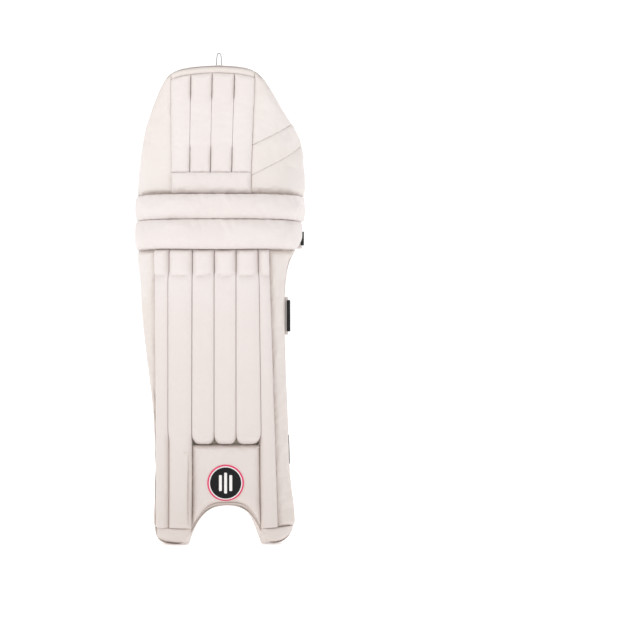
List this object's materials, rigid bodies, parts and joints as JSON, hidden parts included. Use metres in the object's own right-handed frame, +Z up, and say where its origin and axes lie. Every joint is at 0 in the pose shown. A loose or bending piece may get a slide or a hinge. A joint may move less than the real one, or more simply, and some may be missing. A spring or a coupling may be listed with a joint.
{
  "type": "cricket leg pad",
  "caption": "Batting leg pad with cane-stiffened shin channels, knee rolls, a folding top hat and hook-and-loop leg straps.",
  "frame": {"origin": "centre of the pad's bounding box, on the level that its two feet stand on", "axes": "+Z up along the shin, -Y out of the strike face, +X to the right as seen from the front; the leg goes in from +Y"},
  "size_m": [0.2567, 0.1261, 0.724],
  "materials": {
    "facing": "satin coated leathercloth",
    "wing": "satin coated leathercloth",
    "foam": "closed-cell foam",
    "cane": "split cane",
    "lining": "smooth printed lining cloth",
    "strap": "brushed loop cloth",
    "hook": "loop pile",
    "tab": "matt pull tab",
    "badge": "embossed transfer",
    "loop": "woven tape"
  },
  "bodies": {
    "shin": {"shin_board": "foam", "shin_lining": "lining", "cane_channel_1": "facing", "cane_channel_2": "facing", "cane_channel_3": "facing", "cane_channel_4": "facing", "cane_channel_5": "facing", "cane_channel_6": "facing", "cane_rod_1": "cane", "cane_rod_2": "cane", "cane_rod_3": "cane", "cane_rod_4": "cane", "cane_rod_5": "cane", "cane_rod_6": "cane", "wing_left": "wing", "wing_right": "wing", "instep_panel": "facing", "instep_binding": "facing", "instep_badge": "badge", "foot_strip_left": "wing", "foot_strip_right": "wing", "bolster_left": "lining", "bolster_centre": "lining", "bolster_right": "lining", "foot_pad_left": "lining", "instep_pad": "lining", "foot_pad_right": "lining", "calf_strap_anchor": "strap", "calf_strap_pile": "hook", "ankle_strap_anchor": "strap", "ankle_strap_pile": "hook"},
    "lower_roll": {"knee_roll_lower": "facing", "knee_roll_lower_core": "foam", "knee_strap_anchor": "strap", "knee_strap_pile": "hook"},
    "upper_roll": {"knee_roll_upper": "facing", "knee_roll_upper_core": "foam", "knee_cup_left": "lining", "knee_cup_right": "lining", "knee_gusset": "hook"},
    "top_hat": {"top_board": "foam", "top_lining": "lining", "top_channel_1": "facing", "top_channel_2": "facing", "top_channel_3": "facing", "top_channel_4": "facing", "top_hem": "facing", "top_rim": "facing", "top_panel_left": "wing", "top_panel_right_lower": "wing", "top_panel_right_middle": "wing", "top_panel_right_upper": "wing", "top_badge": "badge"},
    "hanger": {"hang_loop": "loop"},
    "knee_band": {"knee_strap": "strap", "knee_strap_tab": "tab"},
    "calf_band": {"calf_strap": "strap", "calf_strap_tab": "tab"},
    "ankle_band": {"ankle_strap": "strap", "ankle_strap_tab": "tab"}
  },
  "joints": [
    {"name": "knee_flex_lower", "type": "hinge", "parent": "shin", "child": "lower_roll", "pos_m": [0, 0.048, 0.438], "axis": [-1, 0, 0], "range_deg": [0, 6]},
    {"name": "knee_flex_middle", "type": "hinge", "parent": "lower_roll", "child": "upper_roll", "pos_m": [0, 0.048, 0.481], "axis": [-1, 0, 0], "range_deg": [0, 6]},
    {"name": "knee_flex_upper", "type": "hinge", "parent": "upper_roll", "child": "top_hat", "pos_m": [0, 0.048, 0.518], "axis": [-1, 0, 0], "range_deg": [0, 6]},
    {"name": "hang_loop_fold", "type": "hinge", "parent": "top_hat", "child": "hanger", "pos_m": [0.0023, -0.0511, 0.706], "axis": [1, 0, 0], "range_deg": [-50, 50], "stiffness_Nm_per_rad": 0.0005},
    {"name": "knee_strap_open", "type": "hinge", "parent": "lower_roll", "child": "knee_band", "pos_m": [-0.1009, 0.0484, 0.4555], "axis": [0, 0, 1], "range_deg": [0, 150]},
    {"name": "calf_strap_open", "type": "hinge", "parent": "shin", "child": "calf_band", "pos_m": [-0.0944, 0.0327, 0.3385], "axis": [-0.0592, 0.1062, 0.9926], "range_deg": [0, 150]},
    {"name": "ankle_strap_open", "type": "hinge", "parent": "shin", "child": "ankle_band", "pos_m": [-0.0804, 0.0151, 0.1345], "axis": [-0.0209, 0.0186, 0.9996], "range_deg": [0, 150]}
  ],
  "couplings": [
    {"joint": "knee_flex_middle", "follows": "knee_flex_lower", "ratio": 1},
    {"joint": "knee_flex_upper", "follows": "knee_flex_lower", "ratio": 1}
  ]
}
